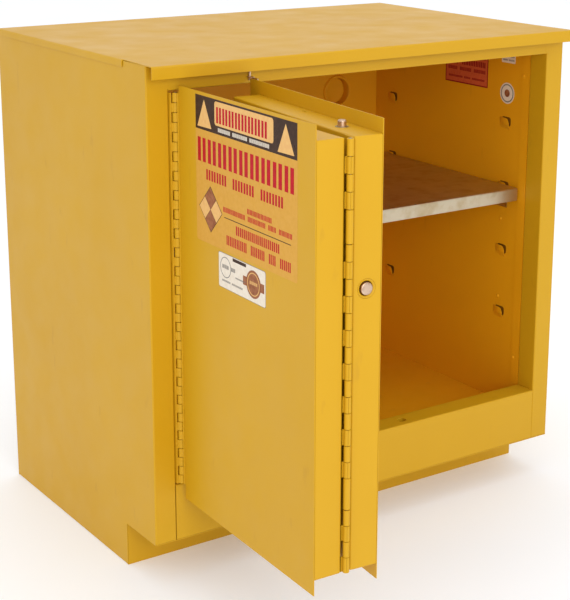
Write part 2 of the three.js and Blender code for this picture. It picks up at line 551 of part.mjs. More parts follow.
// ---- guide pin at the free end of the second leaf ----
function addGuide(leafB) {
  const [x, y] = GUIDE_PIN;
  const back = SKIN_FRONT - GAP;
  const ear = GUIDE_EAR;
  addTo(leafB, 'guide_bracket', steel, cut(join(
    block([x - GUIDE_PLATE.from, x - GUIDE_PLATE.to], [back - SHEET, back],
      [SKIN_TOP - GUIDE_PLATE.drop, SKIN_TOP + ear.top]),
    block([x - ear.overlap, x + ear.half], [y - ear.half, y + ear.half],
      [SKIN_TOP + ear.rise, SKIN_TOP + ear.top]),
  ), rod(GUIDE_PIN_RADIUS + GAP, 8, [x, y, SKIN_TOP - 2], 'z', 12)));
  addTo(leafB, 'guide_pin', steel, turned([
    [0, -GUIDE_HEAD.depth], [GUIDE_HEAD.radius, -GUIDE_HEAD.depth], [GUIDE_HEAD.radius, -GUIDE_NECK],
    [GUIDE_PIN_RADIUS, -GUIDE_NECK], [GUIDE_PIN_RADIUS, GUIDE_PIN_LENGTH], [0, GUIDE_PIN_LENGTH],
  ], [x, y, SKIN_TOP + ear.top], 'z', 12));
}

// ---- assembly ----
function swung(parent, [x, y], degrees) {
  const pivot = new THREE.Group();
  pivot.position.set(x, y, 0);
  pivot.rotation.z = THREE.MathUtils.degToRad(degrees);
  const leaf = new THREE.Group();
  leaf.position.set(-x, -y, 0);
  pivot.add(leaf);
  parent.add(pivot);
  return leaf;
}

const cabinet = new THREE.Group();
const leafA = swung(cabinet, JAMB_AXIS, -DOOR_OPEN_DEG);
const leafB = swung(leafA, FOLD_AXIS, FOLD_OPEN_DEG);
addShell(cabinet);
addFrame(cabinet);
addLiner(cabinet);
addShelf(cabinet);
addVents(cabinet);
addJambHinge(cabinet, leafA);
addFoldHinge(leafA, leafB);
addLeaves(leafA, leafB);
addLatch(leafB);
addLatchMovers(leafB);
addGuide(leafB);

const extent = new THREE.Box3().setFromObject(cabinet, true);
const centre = extent.getCenter(new THREE.Vector3());
cabinet.position.set(-centre.x, -centre.y, -extent.min.z);

export default cabinet;
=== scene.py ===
"""Under-counter flammable storage cabinet with its bi-fold door open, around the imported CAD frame.

Metres, in the CAD's frame; the labels are laid out in millimetres. The door leaves are drawn as they
stand when the door is closed, square to the cabinet, and LEAF_A and LEAF_B carry them to the open
position, which is the rest pose.
"""
import json
import math

import bmesh
import bpy
from mathutils import Matrix, Vector


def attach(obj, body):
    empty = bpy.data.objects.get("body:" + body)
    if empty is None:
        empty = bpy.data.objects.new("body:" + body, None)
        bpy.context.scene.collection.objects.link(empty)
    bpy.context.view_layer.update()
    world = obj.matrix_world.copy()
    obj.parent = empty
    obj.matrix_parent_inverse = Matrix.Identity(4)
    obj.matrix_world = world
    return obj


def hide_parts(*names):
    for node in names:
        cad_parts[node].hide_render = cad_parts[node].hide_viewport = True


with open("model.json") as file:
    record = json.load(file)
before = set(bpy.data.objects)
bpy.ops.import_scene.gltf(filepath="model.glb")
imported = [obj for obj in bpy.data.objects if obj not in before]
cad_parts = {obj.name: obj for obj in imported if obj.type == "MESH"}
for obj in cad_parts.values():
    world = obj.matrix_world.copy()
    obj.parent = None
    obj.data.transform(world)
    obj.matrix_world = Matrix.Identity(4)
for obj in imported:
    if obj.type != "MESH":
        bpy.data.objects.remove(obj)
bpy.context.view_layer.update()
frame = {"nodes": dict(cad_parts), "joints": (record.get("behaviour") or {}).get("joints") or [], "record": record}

# ---- sizes, in metres ----
SHEET = 0.0015
BEND = 0.0026  # outside radius of a folded sheet edge
RIM = 0.0003  # rounding of a cut sheet edge
TOP_BEND = 0.0034
SHELF_BEND = 0.004
COVER_FLANGE = 0.012  # depth of the top cover's side flanges
COVER_SETBACK = 0.0732  # from the front of a side panel to the start of its flange
STILE_RETURN = 0.012  # inner lip of an upright of the door frame
HEADER_RETURN = 0.02  # inner lip of the header
STRIKE_RADIUS = 0.0085
KNUCKLE_GAP = 0.0004
FILM = 0.00012  # label film, and each layer of ink on it
CIRCLE_SIDES = 40

# ---- camera ----
SENSOR = 36.0
CLIP_END = 50
CAMERA_PLACE = (-1.5229, -2.1054, 1.2154)
CAMERA_HEADING = 34.59  # degrees from +Y towards +X
CAMERA_PITCH = 14.12  # degrees below the horizon
CAMERA_ROLL = 0.27
CAMERA_LENS = 89.1
CAMERA_SHIFT = (-0.047, -0.131)

# ---- the door's open position ----
joints = {joint["name"]: joint for joint in frame["joints"]}
fold_ratio = frame["record"]["behaviour"]["couplings"][0]["ratio"]
swing_angle = math.radians(joints["door_swing"]["range_deg"][1])
fold_angle = -fold_ratio * swing_angle


def turn(place, angle):
    """A turn about the vertical line through place."""
    shift = Matrix.Translation(place)
    return shift @ Matrix.Rotation(angle, 4, "Z") @ shift.inverted()


JAMB_AXIS = Vector(joints["door_swing"]["pos_m"])
LEAF_A = turn(JAMB_AXIS, -swing_angle)
FOLD_AXIS = LEAF_A.inverted() @ Vector(joints["door_fold"]["pos_m"])
LEAF_B = LEAF_A @ turn(FOLD_AXIS, fold_angle)
CABINET = Matrix()


def extent(node, opened=CABINET):
    """Lowest and highest corner of a CAD node, with its leaf swung closed."""
    closing = opened.inverted()
    places = [closing @ vertex.co for vertex in frame["nodes"][node].data.vertices]
    low = Vector([min(place[i] for place in places) for i in range(3)])
    high = Vector([max(place[i] for place in places) for i in range(3)])
    return low, high


def middle(node, opened=CABINET):
    """The middle of a CAD node's box, with its leaf swung closed."""
    low, high = extent(node, opened)
    return (low + high) / 2


# ---- materials ----
class Shader:
    """A new material with its node tree, and short ways to add nodes to it."""

    def __init__(self, name, roughness, metallic=0.0, specular=0.5):
        self.material = bpy.data.materials.new(name)
        self.material.use_nodes = True
        self.nodes = self.material.node_tree.nodes
        self.links = self.material.node_tree.links
        self.surface = self.nodes["Principled BSDF"]
        self.surface.inputs["Roughness"].default_value = roughness
        self.surface.inputs["Metallic"].default_value = metallic
        self.surface.inputs["Specular IOR Level"].default_value = specular
        self.place = self.nodes.new("ShaderNodeTexCoord").outputs["Object"]

    def add(self, kind, place=None, **settings):
        """A node with its settings, fed with object coordinates where it takes a place."""
        node = self.nodes.new("ShaderNode" + kind)
        for name, value in settings.items():
            node.inputs[name].default_value = value
        if "Vector" in node.inputs:
            self.links.new(place or self.place, node.inputs["Vector"])
        return node

    def stretched(self, scale):
        """Object coordinates scaled apart on each axis."""
        return self.add("Mapping", Scale=scale).outputs["Vector"]

    def noise(self, scale, detail=2.0, place=None):
        return self.add("TexNoise", place, Scale=scale, Detail=detail).outputs["Fac"]

    def cells(self, scale):
        return self.add("TexVoronoi", Scale=scale).outputs["Color"]

    def ranged(self, value, source, target):
        """A value mapped from its source range to a target range."""
        node = self.nodes.new("ShaderNodeMapRange")
        node.inputs["From Min"].default_value, node.inputs["From Max"].default_value = source
        node.inputs["To Min"].default_value, node.inputs["To Max"].default_value = target
        self.links.new(value, node.inputs["Value"])
        return node.outputs["Result"]

    def mixed(self, share, first, second):
        """A colour between two colours, each a colour or an output."""
        node = self.nodes.new("ShaderNodeMix")
        node.data_type = "RGBA"
        self.links.new(share, node.inputs["Factor"])
        for colour, socket in ((first, node.inputs[6]), (second, node.inputs[7])):
            if isinstance(colour, tuple):
                socket.default_value = (*colour, 1.0)
            else:
                self.links.new(colour, socket)
        return node.outputs[2]

    def bump(self, height, distance, strength=1.0, below=None):
        node = self.add("Bump", Strength=strength, Distance=distance)
        self.links.new(height, node.inputs["Height"])
        if below is not None:
            self.links.new(below, node.inputs["Normal"])
        return node.outputs["Normal"]

    def wire(self, **outputs):
        """Links outputs to the surface's sockets: colour, roughness, normal."""
        names = {"colour": "Base Color", "roughness": "Roughness", "normal": "Normal"}
        for key, output in outputs.items():
            self.links.new(output, self.surface.inputs[names[key]])
        return self.material


def powder_coat(name, colour, deep, scuff, gloss):
    """Satin powder coat: orange peel, faintly wavy sheet, uneven gloss, a few handling scuffs."""
    shader = Shader(name, gloss, specular=0.24)
    tone = shader.mixed(shader.ranged(shader.noise(3.5, 3), (0.3, 0.7), (0, 1)), colour, deep)
    fine = shader.mixed(shader.ranged(shader.noise(420, 2), (0.35, 0.75), (0, 0.35)), tone, deep)
    marks = shader.ranged(shader.noise(38, 8, shader.stretched((1, 1, 0.35))), (0.66, 0.74), (0, 0.4))
    worn = shader.mixed(marks, fine, scuff)
    sheen = shader.ranged(shader.noise(16, 4), (0.3, 0.7), (gloss - 0.05, gloss + 0.08))
    waves = shader.bump(shader.noise(5), 0.0012, 0.35)
    peel = shader.bump(shader.noise(430, 1), 0.00012, 0.3, waves)
    return shader.wire(colour=worn, roughness=sheen, normal=peel)


def galvanized_sheet(name):
    """Zinc-coated sheet: soft spangle, long rolling marks and a few dull smears."""
    shader = Shader(name, 0.34, 1.0)
    spangle = shader.ranged(shader.cells(60), (0.2, 0.8), (0, 1))
    base = shader.mixed(spangle, (0.55, 0.46, 0.32), (0.57, 0.475, 0.335))
    smears = shader.ranged(shader.noise(34, 8), (0.48, 0.74), (0, 0.7))
    stained = shader.mixed(smears, base, (0.4, 0.27, 0.12))
    rolled = shader.noise(260, 3, shader.stretched((0.04, 1, 1)))
    sheen = shader.ranged(rolled, (0.3, 0.7), (0.3, 0.42))
    return shader.wire(colour=stained, roughness=sheen, normal=shader.bump(rolled, 0.00005, 0.2))


def plated_metal(name, bright, dull, roughness):
    """Plated steel or brass with fine scratches and a few dull spots."""
    shader = Shader(name, roughness, 1.0)
    spots = shader.ranged(shader.noise(140, 5), (0.5, 0.72), (0, 1))
    base = shader.mixed(spots, bright, dull)
    scratches = shader.noise(900, 3, shader.stretched((1, 0.15, 1)))
    sheen = shader.ranged(scratches, (0.3, 0.7), (roughness * 0.7, roughness * 1.4))
    return shader.wire(colour=base, roughness=sheen, normal=shader.bump(scratches, 0.00006, 0.3))


def print_or_painted_shade(name, colour, faded, roughness=0.32):
    """Ink or vinyl film, and the flat dark patches of painted shade: slightly mottled, with a soft gloss."""
    shader = Shader(name, roughness, specular=0.08)
    base = shader.mixed(shader.ranged(shader.noise(160, 4), (0.35, 0.7), (0, 1)), colour, faded)
    sheen = shader.ranged(shader.noise(45, 3), (0.3, 0.7), (roughness - 0.06, roughness + 0.1))
    return shader.wire(colour=base, roughness=sheen, normal=shader.bump(shader.noise(700), 0.00003, 0.3))


def woven_mesh(name):
    """Fine wire screen: two sets of wires in the wires' own grey on top, with painted shade down their sides and
    in the gaps between them.
    """
    shader = Shader(name, 0.45, 1.0)
    waves = []
    for direction in ("X", "Z"):
        node = shader.add("TexWave", Scale=260)
        node.bands_direction = direction
        waves.append(node.outputs["Fac"])
    height = shader.nodes.new("ShaderNodeMath")
    height.operation = "MAXIMUM"
    shader.links.new(waves[0], height.inputs[0])
    shader.links.new(waves[1], height.inputs[1])
    # painted shade: near black in the gaps and down the wires' sides, the wires' grey on their tops
    base = shader.mixed(height.outputs[0], (0.03, 0.03, 0.03), (0.42, 0.42, 0.4))
    return shader.wire(colour=base, normal=shader.bump(height.outputs[0], 0.0004, 0.8))


YELLOW = powder_coat("powder_coat_yellow", (0.6, 0.332, 0.008), (0.572, 0.31, 0.007),
                     (0.48, 0.25, 0.012), 0.42)
YELLOW_INSIDE = powder_coat("powder_coat_inside", (0.8, 0.37, 0.006), (0.75, 0.335, 0.006),
                            (0.62, 0.27, 0.008), 0.46)
# painted shade: a near-black brown for the tab openings, standing in for the shade in the wall behind them
CAVITY_SHADE = print_or_painted_shade("shadowed_cavity", (0.2, 0.075, 0.006), (0.16, 0.055, 0.004), 0.6)
GALVANIZED = galvanized_sheet("galvanized_sheet")
ZINC = plated_metal("zinc_plate", (0.42, 0.33, 0.2), (0.25, 0.17, 0.09), 0.42)
CHROME = plated_metal("polished_steel", (0.68, 0.65, 0.61), (0.63, 0.6, 0.56), 0.27)
WORN_STEEL = plated_metal("worn_steel", (0.62, 0.45, 0.33), (0.42, 0.27, 0.18), 0.4)
BRASS = plated_metal("brass", (0.75, 0.55, 0.24), (0.5, 0.36, 0.16), 0.24)
MESH = woven_mesh("woven_wire")
CLEAR_FILM = print_or_painted_shade("clear_film", (0.64, 0.335, 0.055), (0.61, 0.315, 0.045), 0.4)
CREAM = print_or_painted_shade("cream_ink", (0.76, 0.46, 0.16), (0.72, 0.4, 0.14))
# dark ink on the labels, and also the painted shade in the lock's keyway
BLACK = print_or_painted_shade("dark_ink_and_keyway_shade", (0.04, 0.02, 0.012), (0.06, 0.03, 0.018))
RED = print_or_painted_shade("red_ink", (0.5, 0.004, 0.014), (0.4, 0.004, 0.012))
DARK_RED = print_or_painted_shade("dark_red_ink", (0.3, 0.008, 0.01), (0.24, 0.008, 0.01))
WHITE = print_or_painted_shade("white_film", (0.78, 0.7, 0.58), (0.72, 0.63, 0.51))
BROWN = print_or_painted_shade("brown_ink", (0.25, 0.08, 0.03), (0.36, 0.14, 0.06))
GREY = print_or_painted_shade("grey_ink", (0.2, 0.18, 0.16), (0.27, 0.25, 0.22))
PINK = print_or_painted_shade("pale_red_ink", (0.62, 0.12, 0.04), (0.56, 0.1, 0.035))


PAINTED = (YELLOW, "cabinet", "yellow_paint")


# ---- mesh helpers ----
def polygon(bm, places):
    return bm.faces.new([bm.verts.new(place) for place in places])


def prism(bm, outline, low, high, place):
    """A closed solid between two copies of an outline. place maps (u, v, height) to a point."""
    rings = [[bm.verts.new(place(u, v, height)) for u, v in outline] for height in (low, high)]
    bottom, top = rings
    bm.faces.new(bottom[::-1])
    bm.faces.new(top)
    for i in range(len(outline)):
        j = (i + 1) % len(outline)
        bm.faces.new((bottom[i], bottom[j], top[j], top[i]))


TO_AXIS = {
    "x": Matrix.Rotation(math.pi / 2, 4, "Y"),
    "y": Matrix.Rotation(-math.pi / 2, 4, "X"),
    "z": Matrix(),
}


def lathe(bm, profile, place, axis, sides=CIRCLE_SIDES):
    """A profile of (radius, height) points turned about an axis through place. It starts and ends on
    the axis, or closes on itself."""
    matrix = Matrix.Translation(place) @ TO_AXIS[axis]
    rings = []
    for radius, height in profile:
        spokes = sides if radius > 0 else 1
        angles = [2 * math.pi * i / spokes for i in range(spokes)]
        rings.append([bm.verts.new(matrix @ Vector((radius * math.cos(a), radius * math.sin(a), height)))
                      for a in angles])
    pairs = list(zip(rings, rings[1:]))
    if profile[0][0] > 0:
        pairs.append((rings[-1], rings[0]))
    for one, other in pairs:
        for i in range(sides):
            j = (i + 1) % sides
            corners = [one[i % len(one)], one[j % len(one)], other[j % len(other)], other[i % len(other)]]
            bm.faces.new(list(dict.fromkeys(corners)))


def arc(centre, radius, start, end, steps):
    """Points on a circle from one angle to another, in degrees."""
    angles = [math.radians(start + (end - start) * i / steps) for i in range(steps + 1)]
    return [(centre[0] + radius * math.cos(a), centre[1] + radius * math.sin(a)) for a in angles]


def round_hole(u, v, radius):
    """A hole's outline, anticlockwise from its lowest point."""
    return arc((u, v), radius, -90, 270, 32)[:-1]


def slot_hole(u, v, length, height):
    half = (length - height) / 2
    r = height / 2
    right = arc((u + half, v), r, -90, 90, 8)
    left = arc((u - half, v), r, 90, 270, 8)
    return [(u, v - r), *right, (u, v + r), *left]


def square_hole(u, v, width, height):
    w, h = width / 2, height / 2
    return [(u, v - h), (u + w, v - h), (u + w, v + h), (u, v + h), (u - w, v + h), (u - w, v - h)]


def rounded_rectangle(u0, u1, v0, v1, radius, steps=5):
    return [*arc((u1 - radius, v0 + radius), radius, -90, 0, steps),
            *arc((u1 - radius, v1 - radius), radius, 0, 90, steps),
            *arc((u0 + radius, v1 - radius), radius, 90, 180, steps),
            *arc((u0 + radius, v0 + radius), radius, 180, 270, steps)]


def rectangle(u0, u1, v0, v1):
    return [(u0, v0), (u1, v0), (u1, v1), (u0, v1)]


def side(outward, place, u_range, v_range, holes=()):
    """One flat side of a folded sheet, as (normal, points) faces. place maps (u, v) to a point, and
    each hole is an outline with its lowest point first and its highest half way round."""
    (u0, u1), (v0, v1) = u_range, v_range
    if not holes:
        return [(outward, [place(u, v) for u, v in rectangle(u0, u1, v0, v1)])]
    holes = sorted(holes, key=lambda hole: hole[0][0])
    middles = [hole[0][0] for hole in holes]
    cuts = [u0, *[(a + b) / 2 for a, b in zip(middles, middles[1:])], u1]
    faces = []
    for hole, left, right in zip(holes, cuts, cuts[1:]):
        half = len(hole) // 2
        middle = hole[0][0]
        right_side = hole[:half + 1]
        left_side = [*hole[half:], hole[0]]
        left_face = [(left, v0), (middle, v0), *left_side[::-1], (middle, v1), (left, v1)]
        right_face = [(middle, v0), (right, v0), (right, v1), (middle, v1), *right_side[::-1]]
        for outline in (left_face, right_face):
            faces.append((outward, [place(u, v) for u, v in outline]))
    return faces


def stitch(bm):
    """Splits each edge at the vertices that lie on it, so that sides meet along their whole length."""
    for vertex in list(bm.verts):
        for edge in list(bm.edges):
            if vertex in edge.verts:
                continue
            start, end = (v.co for v in edge.verts)
            along = end - start
            share = (vertex.co - start).dot(along) / along.length_squared
            if 0.001 < share < 0.999 and (start + along * share - vertex.co).length < 1e-6:
                bmesh.utils.edge_split(edge, edge.verts[0], share)
    bmesh.ops.remove_doubles(bm, verts=bm.verts, dist=1e-6)


def add_object(name, data):
    made = bpy.data.objects.new(name, data)
    bpy.context.scene.collection.objects.link(made)
    return made


def show(name, bm, material, body, slot, opened=CABINET, replaces=(), closed=True):
    """Makes a piece of a mesh, shaded smooth up to 35 degrees, and rides it on its CAD body."""
    if closed:
        bmesh.ops.recalc_face_normals(bm, faces=bm.faces)
    bm.transform(opened)
    mesh = bpy.data.meshes.new(name)
    bm.to_mesh(mesh)
    bm.free()
    for face in mesh.polygons:
        face.use_smooth = True
    mesh.set_sharp_from_angle(angle=math.radians(35))
    materials = material if isinstance(material, list) else [material]
    for one in materials:
        mesh.materials.append(one)
    piece = add_object(name, mesh)
    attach(piece, body)
    if replaces:
        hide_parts(*replaces)
    return piece


def rounded(piece, width, segments=2, angle=40):
    """Rounds a piece's sharp edges."""
    bevel = piece.modifiers.new("rounding", "BEVEL")
    bevel.width = width
    bevel.segments = segments
    bevel.limit_method = "ANGLE"
    bevel.angle_limit = math.radians(angle)
    bevel.use_clamp_overlap = True
    piece.modifiers.new("shading", "WEIGHTED_NORMAL").keep_sharp = True
    return piece


def folded(name, faces, material, body, slot, opened=CABINET, replaces=(), bend=BEND):
    """A sheet folded from flat sides. The faces are its outside, and its thickness goes inward."""
    bm = bmesh.new()
    for outward, places in faces:
        face = polygon(bm, places)
        face.normal_update()
        if face.normal.dot(Vector(outward)) < 0:
            face.normal_flip()
    bmesh.ops.remove_doubles(bm, verts=bm.verts, dist=1e-6)
    stitch(bm)
    bm.normal_update()
    folds = [edge for edge in bm.edges
             if len(edge.link_faces) == 2 and abs(edge.calc_face_angle(0)) > 0.3]
    if folds:
        bmesh.ops.bevel(bm, geom=folds, offset=bend, offset_type="OFFSET", segments=4, profile=0.5,
                        affect="EDGES")
    piece = show(name, bm, material, body, slot, opened, replaces, closed=False)
    thick = piece.modifiers.new("sheet", "SOLIDIFY")
    thick.thickness = SHEET
    thick.offset = -1
    thick.use_even_offset = True
    return rounded(piece, RIM, 1, 60)


def dress(material, *nodes, rounding=0.0):
    """Gives CAD nodes that keep their shape their material and slightly rounded edges."""
    for node in nodes:
        piece = frame["nodes"][node]
        piece.data.materials.clear()
        piece.data.materials.append(material)
        if rounding:
            rounded(piece, rounding)


# ---- outer shell ----
def make_top_cover():
    """The top sheet, with a deep flange at the front and shallow ones along the sides."""
    low, high = extent("top_cover")
    side_start = extent("side_panel_left")[0].y + COVER_SETBACK
    corners = [(low.x, low.y), (high.x, low.y), (high.x, side_start), (high.x, high.y),
               (low.x, high.y), (low.x, side_start)]
    faces = [((0, 0, 1), [(x, y, high.z) for x, y in corners])]
    faces += side((0, -1, 0), lambda u, v: (u, low.y, v), (low.x, high.x), (low.z, high.z))
    for x, outward in ((low.x, -1), (high.x, 1)):
        faces += side((outward, 0, 0), lambda u, v, x=x: (x, u, v), (side_start, high.y),
                      (high.z - COVER_FLANGE, high.z))
    folded("top_cover_sheet", faces, *PAINTED, replaces=("top_cover",), bend=TOP_BEND)


def make_body_side(hand):
    """A side panel and its front upright, folded from one sheet with a return into the door opening."""
    panel, stile = f"side_panel_{hand}", f"stile_{hand}"
    low, high = extent(panel)
    stile_low, stile_high = extent(stile)
    outer, foot, sign = (low.x, high.x, 1) if hand == "left" else (high.x, low.x, -1)
    inner = stile_high.x if hand == "left" else stile_low.x
    front, back = stile_low.y, high.y
    toe_y = extent("toe_kick")[0].y
    notch_z = extent("bottom_pan")[0].z
    outline = [(front, stile_low.z), (front, high.z), (back, high.z), (back, 0.0),
               (toe_y + SHEET, 0.0), (toe_y, 0.0), (toe_y, notch_z), (front, notch_z)]
    faces = [((-sign, 0, 0), [(outer, y, z) for y, z in outline])]
    faces += side((0, 0, -1), lambda u, v: (u, v, 0.0), (outer, foot), (toe_y + SHEET, back))
    tall = (stile_low.z, high.z)
    lip = (inner, inner - sign * STILE_RETURN)
    faces += side((0, -1, 0), lambda u, v: (u, front, v), (outer, inner), tall)
    faces += side((sign, 0, 0), lambda u, v: (inner, u, v), (front, stile_high.y), tall)
    faces += side((0, 1, 0), lambda u, v: (u, stile_high.y, v), lip, tall)
    folded(f"body_side_{hand}", faces, *PAINTED, replaces=(panel, stile))


def strike_hole():
    """The round hole for a latch bolt in the header or the sill, in plan."""
    bolt = middle("bolt_upper", LEAF_B)
    return round_hole(bolt.x, bolt.y, STRIKE_RADIUS)


def make_header():
    """The channel above the door, and the ground welds at its ends."""
    low, high = extent("header")
    wide = (low.x, high.x)
    faces = side((0, -1, 0), lambda u, v: (u, low.y, v), wide, (low.z, high.z))
    faces += side((0, 0, -1), lambda u, v: (u, v, low.z), wide, (low.y, high.y), [strike_hole()])
    faces += side((0, 1, 0), lambda u, v: (u, high.y, v), wide, (low.z, low.z + HEADER_RETURN))
    folded("header_channel", faces, *PAINTED, replaces=("header",))
    weld, cover = 0.004, 0.0002
    for x, name in ((low.x, "left"), (high.x, "right")):
        bm = bmesh.new()
        prism(bm, rectangle(x - weld, x + weld, low.z + BEND, high.z), low.y - cover, low.y + cover,
              lambda u, v, height: (u, height, v))
        show(f"ground_weld_{name}", bm, *PAINTED)


def make_sill():
    """The sheet below the door: its face, its ledge and its lip down to the sump."""
    low, high = extent("sill_panel")
    wide = (low.x, high.x)
    sump_top = extent("sump_pan")[1].z
    faces = side((0, -1, 0), lambda u, v: (u, low.y, v), wide, (low.z, high.z))
    faces += side((0, 0, 1), lambda u, v: (u, v, high.z), wide, (low.y, high.y), [strike_hole()])
    faces += side((0, 1, 0), lambda u, v: (u, high.y, v), wide, (sump_top, high.z))
    folded("sill_sheet", faces, *PAINTED, replaces=("sill_panel",))


def make_strike_cup():
    """The painted cup that closes the strike hole from below."""
    ledge = extent("sill_panel")[1].z - SHEET
    bolt = middle("bolt_lower", LEAF_B)
    outer, inner, deep = 0.0098, 0.0086, 0.019
    floor, gap = 0.001, 0.0001
    profile = [(0, -deep - floor), (outer, -deep - floor), (outer, -gap), (inner, -gap),
               (inner, -deep), (0, -deep)]
    bm = bmesh.new()
    lathe(bm, profile, (bolt.x, bolt.y, ledge), "z")
    show("strike_cup", bm, *PAINTED)


# ---- inner walls ----
FLANGE_START, FLANGE_END = 0.0005, 0.0225  # door frame's return, from the wall's front edge
FLANGE_THICK, FLANGE_SINK = 0.0012, 0.0003
FLANGE_MARGIN = 0.002  # left free at its top and its foot
RIVETS = ((0.017, 0.795), (0.07, 0.505), (0.07, 0.345), (0.017, 0.23))  # from that edge, and up
RIVET_DOME = ((0.0, 0.0), (0.0034, 0.0), (0.0031, 0.0007), (0.0018, 0.0015), (0.0, 0.0018))
RIVET_SIDES = 16
TAB_WIDTH, TAB_HEIGHT, TAB_REACH = 0.03, 0.022, 0.0048
TAB_THICK, TAB_SEAT = 0.0011, 0.0002  # thickness, and least height above the wall
TAB_CORNER = 0.009
TAB_SLOPES = (0.7, 0.6)  # sloping shares of its width and of its height
TAB_STEPS = 8
TAB_ROWS = [0.313 + 0.128 * i for i in range(4)]


def add_tab(bm, wall_x, inward, y, z):
    """A tab pressed out of the wall: open at its front and top, and sloping back into the wall behind
    and below."""
    skins = []
    for lift in (0.0, TAB_THICK):
        grid = []
        for i in range(TAB_STEPS + 1):
            along = i / TAB_STEPS
            from_front = TAB_WIDTH * along
            missing = max(0.0, TAB_CORNER - from_front)
            drop = TAB_CORNER - math.sqrt(TAB_CORNER ** 2 - missing ** 2)
            column = []
            for j in range(TAB_STEPS + 1):
                up = j / TAB_STEPS
                rise = min(1.0, (1 - along) / TAB_SLOPES[0]) * min(1.0, up / TAB_SLOPES[1])
                stand = max(TAB_REACH * math.sin(rise * math.pi / 2), TAB_SEAT) - lift
                column.append(bm.verts.new((wall_x + inward * stand, y - TAB_WIDTH / 2 + from_front,
                                            z - TAB_HEIGHT / 2 + (TAB_HEIGHT - drop) * up)))
            grid.append(column)
        skins.append(grid)
    outer, inner = skins
    last = TAB_STEPS
    for i in range(last):
        for j in range(last):
            for grid in skins:
                bm.faces.new((grid[i][j], grid[i + 1][j], grid[i + 1][j + 1], grid[i][j + 1]))
        for a, b in (((i, 0), (i + 1, 0)), ((i, last), (i + 1, last)), ((0, i), (0, i + 1)),
                     ((last, i), (last, i + 1))):
            bm.faces.new((outer[a[0]][a[1]], outer[b[0]][b[1]], inner[b[0]][b[1]], inner[a[0]][a[1]]))


def tab_places():
    """Where the tabs for the shelf clips stand on each side wall, as (y, z)."""
    columns = [middle(f"shelf_clip_{place}_left").y for place in ("front", "back")]
    return [(y, z) for z in TAB_ROWS for y in columns]


def make_liner_wall(hand):
    """A side wall inside, with two columns of four tabs, the flange of the door frame's return and a
    few rivets."""
    low, high = extent(f"liner_{hand}")
    outer, inward = (low.x, 1) if hand == "left" else (high.x, -1)
    wall_x = outer + inward * SHEET
    place = lambda u, v, height: (height, u, v)
    bm = bmesh.new()
    prism(bm, rectangle(low.y, high.y, low.z, high.z), outer, wall_x, place)
    for y, z in tab_places():
        add_tab(bm, wall_x, inward, y, z)
    flange = rectangle(low.y + FLANGE_START, low.y + FLANGE_END,
                       low.z + FLANGE_MARGIN, high.z - FLANGE_MARGIN)
    prism(bm, flange, wall_x - inward * FLANGE_SINK, wall_x + inward * FLANGE_THICK, place)
    dome = [(radius, inward * height) for radius, height in RIVET_DOME]
    for y, z in RIVETS:
        foot = wall_x + inward * (FLANGE_THICK if y < FLANGE_END else 0)
        lathe(bm, dome, (foot, low.y + y, z), "x", RIVET_SIDES)
    show(f"inner_wall_{hand}", bm, YELLOW_INSIDE, "cabinet", "yellow_paint_inside",
         replaces=(f"liner_{hand}",))
    make_tab_openings(hand, wall_x, inward)


def make_tab_openings(hand, wall_x, inward):
    """The holes that the tabs were pressed from, as thin dark patches of painted shade on the wall."""
    beyond, short, corner = 0.0018, 0.006, 0.005
    under, over = 0.00005, 0.00015
    bm = bmesh.new()
    for y, z in tab_places():
        hole = rounded_rectangle(y - TAB_WIDTH / 2 - beyond, y + TAB_WIDTH / 2 - short,
                                 z - TAB_HEIGHT / 2 + short, z + TAB_HEIGHT / 2 + beyond, corner)
        prism(bm, hole, under, over, lambda u, v, height: (wall_x + inward * height, u, v))
    # the patches are painted shade, in the dark cavity colour
    show(f"tab_openings_{hand}", bm, CAVITY_SHADE, "cabinet", "yellow_paint_inside")


def make_shelf():
    """The loose shelf: a flat sheet with its four edges turned down."""
    low, high = extent("shelf")
    faces = side((0, 0, 1), lambda u, v: (u, v, high.z), (low.x, high.x), (low.y, high.y))
    for y, outward in ((low.y, -1), (high.y, 1)):
        faces += side((0, outward, 0), lambda u, v, y=y: (u, y, v), (low.x, high.x), (low.z, high.z))
    for x, outward in ((low.x, -1), (high.x, 1)):
        faces += side((outward, 0, 0), lambda u, v, x=x: (x, u, v), (low.y, high.y), (low.z, high.z))
    folded("shelf_sheet", faces, GALVANIZED, "cabinet", "galvanized_steel", replaces=("shelf",),
           bend=SHELF_BEND)


# ---- vents and grounding screw ----
TUBE_WALL = 0.002
VENT_SIDES = 64


